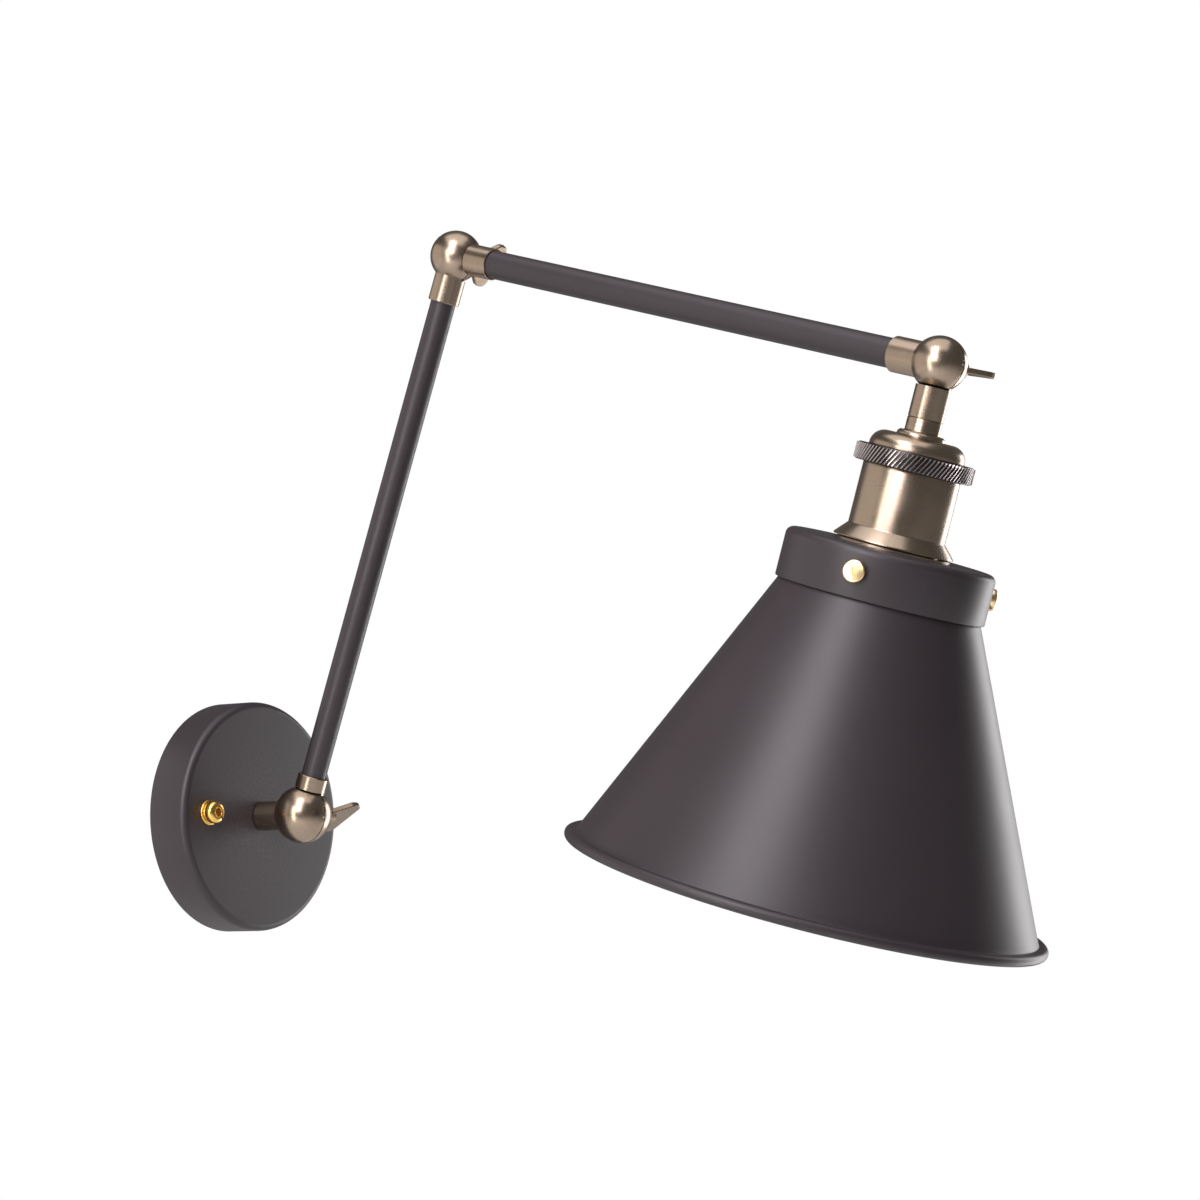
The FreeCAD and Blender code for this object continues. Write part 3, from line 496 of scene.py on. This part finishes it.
def slotted(look, bothWays):  # a spun fastener with a narrow slot sunk in its face
    bm = bmesh.new()
    addSpun(bm, look)
    bmesh.ops.remove_doubles(bm, verts=bm.verts, dist=samePoint)
    bmesh.ops.recalc_face_normals(bm, faces=bm.faces)
    half = look["slotWidth"] / 2 * mm
    cuts = [((0, half, 0), (0, 1, 0)), ((0, -half, 0), (0, 1, 0)), ((look["outer"] * mm, 0, 0), (1, 0, 0))]
    if bothWays:
        cuts.append(((-look["outer"] * mm, 0, 0), (1, 0, 0)))
    for place, normal in cuts:
        bmesh.ops.bisect_plane(bm, geom=bm.verts[:] + bm.edges[:] + bm.faces[:], plane_co=place,
                               plane_no=normal, dist=0.000001)
    chosen = []
    for face in bm.faces:
        spot = face.calc_center_median()
        inside = abs(spot.y) < half and abs(spot.x) < look["outer"] * mm and (bothWays or spot.x > 0)
        if inside and spot.z > look["level"] * mm and face.normal.z > 0.05:
            chosen.append(face)
    sunk = bmesh.ops.extrude_face_region(bm, geom=chosen)["geom"]
    bmesh.ops.delete(bm, geom=chosen, context="FACES_ONLY")
    bmesh.ops.translate(bm, verts=[item for item in sunk if isinstance(item, bmesh.types.BMVert)],
                        vec=(0, 0, -look["slotDepth"] * mm))
    bmesh.ops.rotate(bm, verts=bm.verts, cent=(0, 0, 0),
                     matrix=Matrix.Rotation(math.radians(look["slotTurn"]), 3, "Z"))
    return bm


def canopyNutPair():
    bm = slotted(nutShape, False)
    bmesh.ops.translate(bm, verts=bm.verts, vec=(-nutShape["spacing"] / 2 * mm, 0, 0))
    bmesh.ops.duplicate(bm, geom=bm.verts[:] + bm.edges[:] + bm.faces[:])
    second = bm.verts[len(bm.verts) // 2:]
    bmesh.ops.translate(bm, verts=second, vec=(nutShape["spacing"] * mm, 0, 0))
    return bm


newPiece("brass_nuts", canopyNutPair(), nutBrass, "wall_mount", ["canopy_nuts"], onWall)
for number in range(screwShape["count"]):
    angle = math.radians(screwShape["turn"] + number * 360 / screwShape["count"])
    outward = (Matrix.Translation((0, 0, screwShape["distance"] * mm)) @ Matrix.Rotation(angle, 4, "Z")
               @ Matrix.Rotation(math.radians(90), 4, "Y"))
    label = "shade_screw_%d" % (number + 1)
    newPiece(label + "_head", slotted(screwShape, True), polishedBrass, label + "_sliding",
             [label], onHead @ outward)
print("nuts and screws made")


cameraLook = {"place": (-1.19413, -1.08338, -0.08744), "target": (0, -0.20336, 0.08265), "lens": 109.21}
studio = {"floorHeight": -0.62, "floorSize": 4.5, "cameraWhite": 1.0, "fill": 0.14, "floorGlow": 0.12,
          "floorPale": 0.5}


def makeCamera():
    data = bpy.data.cameras.new("camera")
    data.lens = cameraLook["lens"]
    data.sensor_width = 36.0
    data.clip_end = 60.0
    camera = bpy.data.objects.new("camera", data)
    bpy.context.scene.collection.objects.link(camera)
    aim = Vector(cameraLook["target"]) - Vector(cameraLook["place"])
    camera.location = cameraLook["place"]
    camera.rotation_euler = aim.to_track_quat("-Z", "Y").to_euler()
    bpy.context.scene.camera = camera


def makeFloor():
    bm = bmesh.new()
    bmesh.ops.create_grid(bm, x_segments=1, y_segments=1, size=studio["floorSize"])
    bmesh.ops.translate(bm, verts=bm.verts, vec=(0, 0, studio["floorHeight"]))
    mesh = bpy.data.meshes.new("studio_floor")
    bm.to_mesh(mesh)
    bm.free()
    floor = bpy.data.objects.new("studio_floor", mesh)
    bpy.context.scene.collection.objects.link(floor)
    mat, tree, bsdf, spot = newMaterial("paleFloor")
    drift = useGroup(tree, mottle, {"Vector": spot, "Scale": 3.0, "Low": 0.78, "High": 0.82})
    tree.links.new(drift.outputs["Value"], bsdf.inputs["Base Color"])
    glow = useGroup(tree, mottle, {"Vector": spot, "Scale": 3.0, "Low": 0.98, "High": 1.0})
    tree.links.new(glow.outputs["Value"], bsdf.inputs["Emission Color"])
    ray = tree.nodes.new("ShaderNodeLightPath")
    lit = addNode(tree, "ShaderNodeMapRange", {"Value": ray.outputs["Is Camera Ray"],
                                               "To Min": studio["floorGlow"], "To Max": studio["floorPale"]})
    tree.links.new(lit.outputs["Result"], bsdf.inputs["Emission Strength"])
    under = tree.nodes.new("ShaderNodeNewGeometry").outputs["Backfacing"]
    tree.links.new(mathNode(tree, "SUBTRACT", 1.0, under), bsdf.inputs["Alpha"])  # clear from below
    bsdf.inputs["Roughness"].default_value = 0.9
    mesh.materials.append(mat)


def addSoftbox(name, place, target, width, height, power, colour):
    data = bpy.data.lights.new(name, "AREA")
    data.shape = "RECTANGLE"
    data.size = width
    data.size_y = height
    data.energy = power
    data.color = colour
    lamp = bpy.data.objects.new(name, data)
    bpy.context.scene.collection.objects.link(lamp)
    lamp.location = place
    lamp.rotation_euler = (Vector(target) - Vector(place)).to_track_quat("-Z", "Y").to_euler()


def makeWorld():
    world = bpy.data.worlds.new("studio")
    bpy.context.scene.world = world
    world.use_nodes = True
    tree = world.node_tree
    tree.nodes.clear()
    seen = addNode(tree, "ShaderNodeBackground", {"Color": (1, 1, 1, 1), "Strength": studio["cameraWhite"]})
    felt = addNode(tree, "ShaderNodeBackground", {"Color": (1.0, 0.97, 0.95, 1), "Strength": studio["fill"]})
    ray = tree.nodes.new("ShaderNodeLightPath")
    pick = tree.nodes.new("ShaderNodeMixShader")
    tree.links.new(ray.outputs["Is Camera Ray"], pick.inputs[0])
    tree.links.new(felt.outputs[0], pick.inputs[1])
    tree.links.new(seen.outputs[0], pick.inputs[2])
    out = tree.nodes.new("ShaderNodeOutputWorld")
    tree.links.new(pick.outputs[0], out.inputs["Surface"])


makeCamera()
makeFloor()
makeWorld()
bpy.context.scene.view_settings.view_transform = "Standard"
middle = (0, -0.2, 0.08)
softboxes = {  # place, width, height, power, colour
    "key": ((-1.25, -0.55, 0.95), 0.6, 1.7, 25, (1.0, 0.95, 1.0)),
    "strip": ((-1.45, -0.1, 0.05), 0.24, 1.5, 9, (1.0, 0.97, 0.93)),
    "left": ((-0.9, 1.35, 0.25), 2.3, 2.2, 13, (1.0, 0.92, 0.87)),
    "rim": ((1.45, -0.5, -0.1), 0.6, 1.5, 15, (1.0, 0.98, 0.99)),
    "top": ((-0.3, -0.4, 1.7), 1.9, 1.9, 16, (1.0, 0.96, 0.97)),
}
for lampName, (place, width, height, power, colour) in softboxes.items():
    addSoftbox(lampName, place, middle, width, height, power, colour)
print("camera, floor and lights set")
